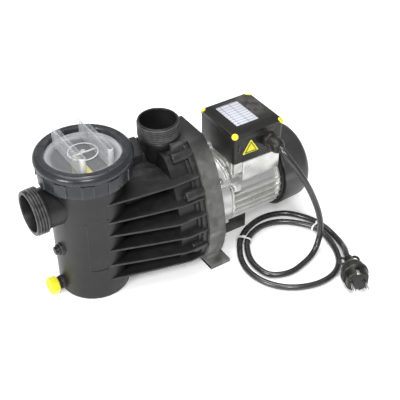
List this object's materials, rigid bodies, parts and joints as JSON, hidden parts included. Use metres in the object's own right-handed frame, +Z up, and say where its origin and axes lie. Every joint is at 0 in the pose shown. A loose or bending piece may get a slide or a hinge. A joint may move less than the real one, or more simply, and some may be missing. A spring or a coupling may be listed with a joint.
{
  "type": "pool pump",
  "caption": "Electric pool pump with an upright strainer pot under a clear lid, ribbed plastic wet end, finned motor, terminal box and a coiled mains cord with plug.",
  "frame": {"origin": "centre of the flat underside of the strainer barrel, on the floor", "axes": "+X along the shaft from the strainer to the motor, +Z up, -Y towards the side with the cable gland"},
  "size_m": [0.4425, 0.3497, 0.247],
  "materials": {
    "housing_plastic": "fine moulded dark grey, glass-filled polypropylene",
    "casing_plastic": "fine moulded dark grey, slightly lighter and mottled",
    "ring_plastic": "smooth satin dark grey",
    "lid_clear": "clear moulded plastic",
    "seal_rubber": "matt",
    "basket_plastic": "light grey moulded",
    "handle_plastic": "yellow moulded",
    "yellow_plastic": "bright yellow moulded",
    "black_plastic": "satin black",
    "cowl_plastic": "satin dark grey",
    "internal_plastic": "moulded grey",
    "motor_aluminium": "die cast, light",
    "bright_steel": "bright zinc or stainless",
    "laminations": "dull varnished",
    "winding_copper": "varnished copper wire",
    "seal_ceramic": "smooth pale",
    "cord_sheath": "smooth, slightly glossy",
    "tie_white": "white",
    "plate_silver": "pale, blank",
    "label_yellow": "plain yellow"
  },
  "bodies": {
    "pump": {"strainer_pot": "housing_plastic", "suction_stub": "housing_plastic", "outlet_neck": "housing_plastic", "ribbed_channel": "housing_plastic", "pump_housing": "housing_plastic", "gauge_port_plug": "black_plastic", "rear_casing": "casing_plastic", "casing_seal": "seal_rubber", "diffuser": "internal_plastic", "seal_seat": "seal_ceramic", "motor_bracket": "motor_aluminium", "stator_housing": "motor_aluminium", "stator_core": "laminations", "stator_winding": "winding_copper", "rear_shield": "motor_aluminium", "fan_cowl": "cowl_plastic", "motor_support": "black_plastic", "terminal_box_base": "black_plastic", "terminal_box_lid": "black_plastic", "terminal_box_gasket": "seal_rubber", "nameplate": "plate_silver", "blank_triangle_plate": "label_yellow", "terminal_block": "internal_plastic", "start_capacitor": "internal_plastic", "gland_body": "black_plastic", "gland_nut": "black_plastic", "mains_cord": "cord_sheath", "cord_tie_1": "tie_white", "cord_tie_2": "tie_white", "plug_body": "black_plastic", "plug_pin_1": "bright_steel", "plug_pin_2": "bright_steel", "casing_bolt_1": "bright_steel", "casing_bolt_2": "bright_steel", "casing_bolt_3": "bright_steel", "casing_bolt_4": "bright_steel", "casing_bolt_5": "bright_steel", "casing_bolt_6": "bright_steel", "box_screw_1": "yellow_plastic", "box_screw_2": "yellow_plastic", "box_screw_3": "yellow_plastic", "box_screw_4": "yellow_plastic", "front_bearing_outer_ring": "bright_steel", "rear_bearing_outer_ring": "bright_steel"},
    "rotor_set": {"shaft": "bright_steel", "impeller": "internal_plastic", "seal_rotating_head": "bright_steel", "rotor": "laminations", "front_bearing_inner_ring": "bright_steel", "rear_bearing_inner_ring": "bright_steel", "cooling_fan": "black_plastic"},
    "front_cage": {"front_bearing_ball_cage": "bright_steel"},
    "rear_cage": {"rear_bearing_ball_cage": "bright_steel"},
    "lid_seal": {"lid_seal": "seal_rubber"},
    "lid": {"clear_lid": "lid_clear"},
    "ring": {"lock_ring": "ring_plastic"},
    "basket": {"strainer_basket": "basket_plastic", "basket_handle": "handle_plastic"},
    "drain_seal": {"drain_seal": "seal_rubber"},
    "drain_plug": {"drain_plug": "yellow_plastic"}
  },
  "joints": [
    {"name": "shaft_spin", "type": "hinge", "parent": "pump", "child": "rotor_set", "pos_m": [0, 0, 0.079], "axis": [1, 0, 0], "continuous": true},
    {"name": "front_cage_turn", "type": "hinge", "parent": "pump", "child": "front_cage", "pos_m": [0, 0, 0.079], "axis": [1, 0, 0], "continuous": true},
    {"name": "rear_cage_turn", "type": "hinge", "parent": "pump", "child": "rear_cage", "pos_m": [0, 0, 0.079], "axis": [1, 0, 0], "continuous": true},
    {"name": "lid_lift_off", "type": "slide", "parent": "pump", "child": "lid_seal", "axis": [0, 0, 1], "range_m": [0, 0.28]},
    {"name": "ring_rise", "type": "slide", "parent": "lid_seal", "child": "lid", "axis": [0, 0, 1], "range_m": [0, 0.009]},
    {"name": "ring_turn", "type": "hinge", "parent": "lid", "child": "ring", "pos_m": [0, 0, 0.21], "axis": [0, 0, 1], "range_deg": [0, 540]},
    {"name": "basket_lift", "type": "slide", "parent": "pump", "child": "basket", "axis": [0, 0, 1], "range_m": [0, 0.21]},
    {"name": "drain_out", "type": "slide", "parent": "pump", "child": "drain_seal", "axis": [-1, 0, 0], "range_m": [0, 0.016]},
    {"name": "drain_turn", "type": "hinge", "parent": "drain_seal", "child": "drain_plug", "pos_m": [-0.06, 0, 0.0145], "axis": [-1, 0, 0], "range_deg": [0, 3240]}
  ],
  "couplings": [
    {"joint": "front_cage_turn", "follows": "shaft_spin", "ratio": 0.4},
    {"joint": "rear_cage_turn", "follows": "shaft_spin", "ratio": 0.4},
    {"joint": "ring_rise", "follows": "ring_turn", "m_per_rad": 0.00095387},
    {"joint": "basket_lift", "follows": "lid_lift_off", "ratio": 0.75},
    {"joint": "drain_out", "follows": "drain_turn", "m_per_rad": 0.00028276}
  ]
}
